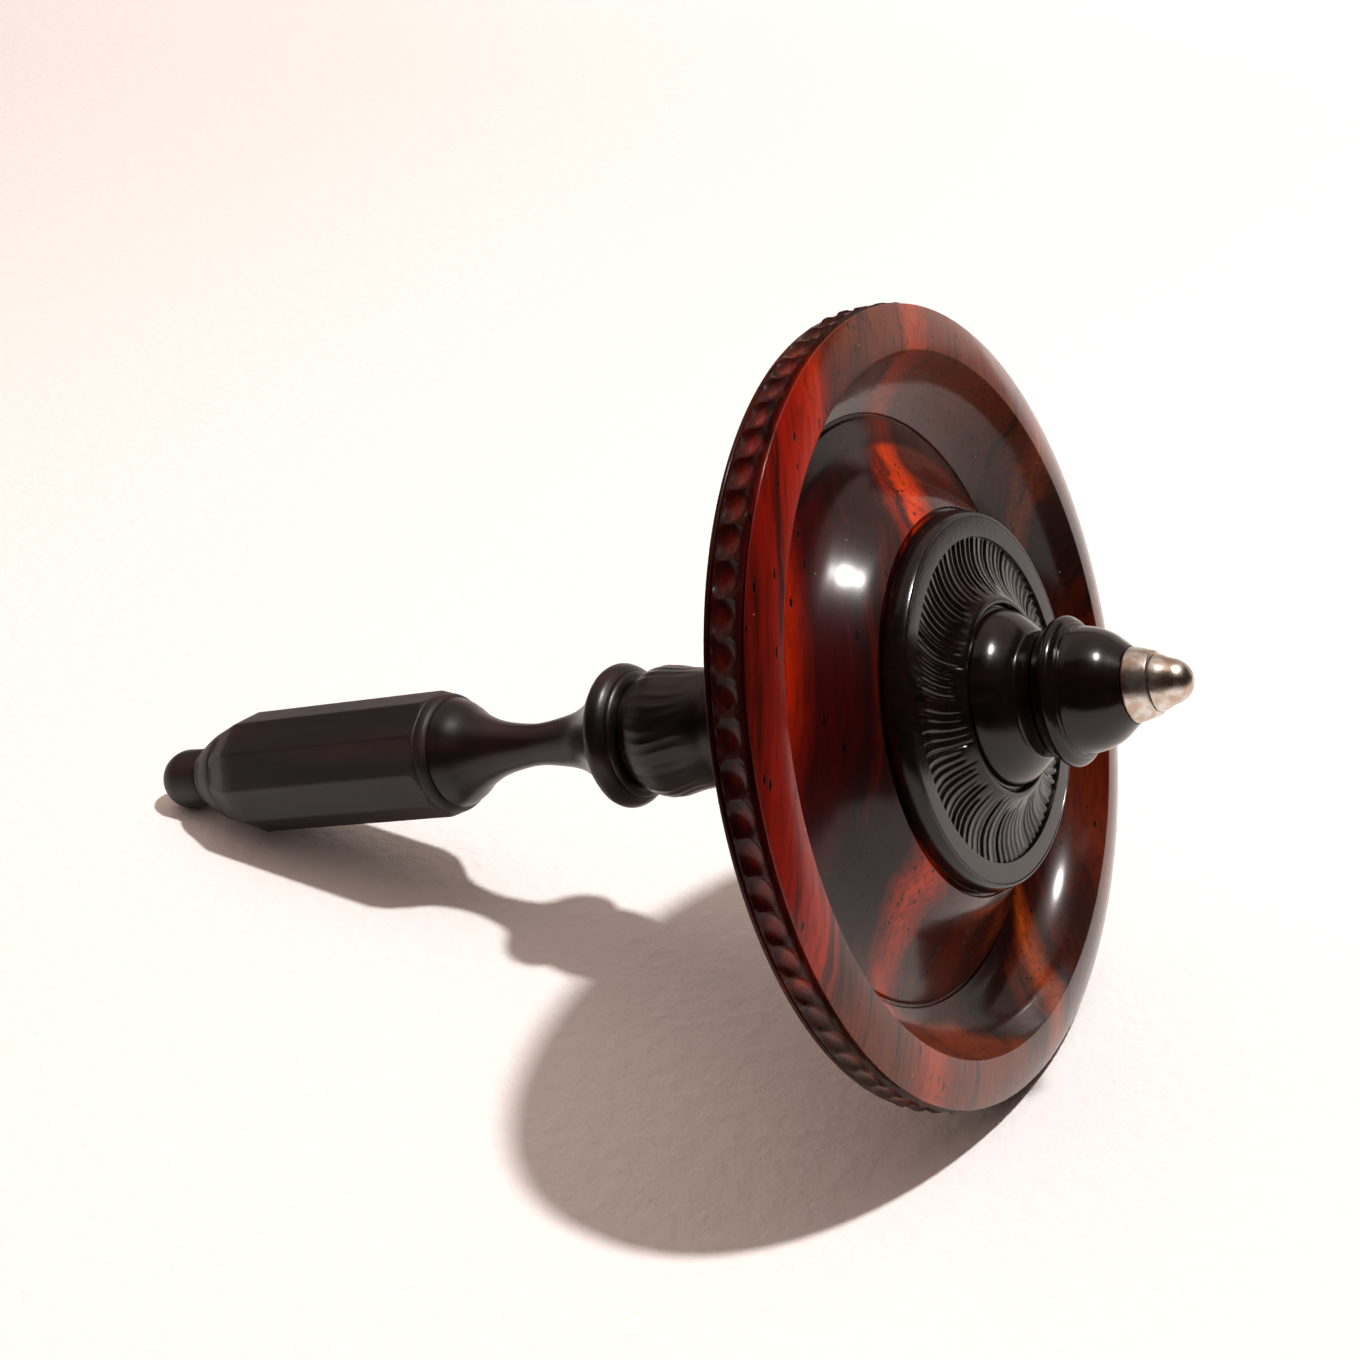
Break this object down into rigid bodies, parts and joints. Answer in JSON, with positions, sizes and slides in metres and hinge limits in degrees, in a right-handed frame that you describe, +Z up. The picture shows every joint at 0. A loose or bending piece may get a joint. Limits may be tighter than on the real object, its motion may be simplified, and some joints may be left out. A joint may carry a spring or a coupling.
{
  "type": "drop spindle",
  "caption": "Short turned hand spindle lying on its side: rosewood whorl, black handle with a flat-sided grip, and a metal point to spin on.",
  "frame": {"origin": "middle of the bounding box in plan, on the surface that the spindle lies on", "axes": "the spindle's axis lies in the XZ plane, with its metal point towards +X and raised 19.4 degrees, and its finial towards -X on the surface; +Z up"},
  "size_m": [0.1112, 0.0704, 0.0671],
  "materials": {
    "rosewood": "polished",
    "blackwood": "satin, polished",
    "nickel_silver": "worn, polished",
    "rod_steel": "plain"
  },
  "bodies": {
    "root": {"whorl": "rosewood", "core_rod": "rod_steel", "boss": "blackwood", "nose_bell": "blackwood", "tip_ferrule": "nickel_silver", "point_pin": "nickel_silver", "collar": "blackwood", "stem": "blackwood", "grip": "blackwood", "finial_knob": "blackwood"}
  },
  "joints": []
}
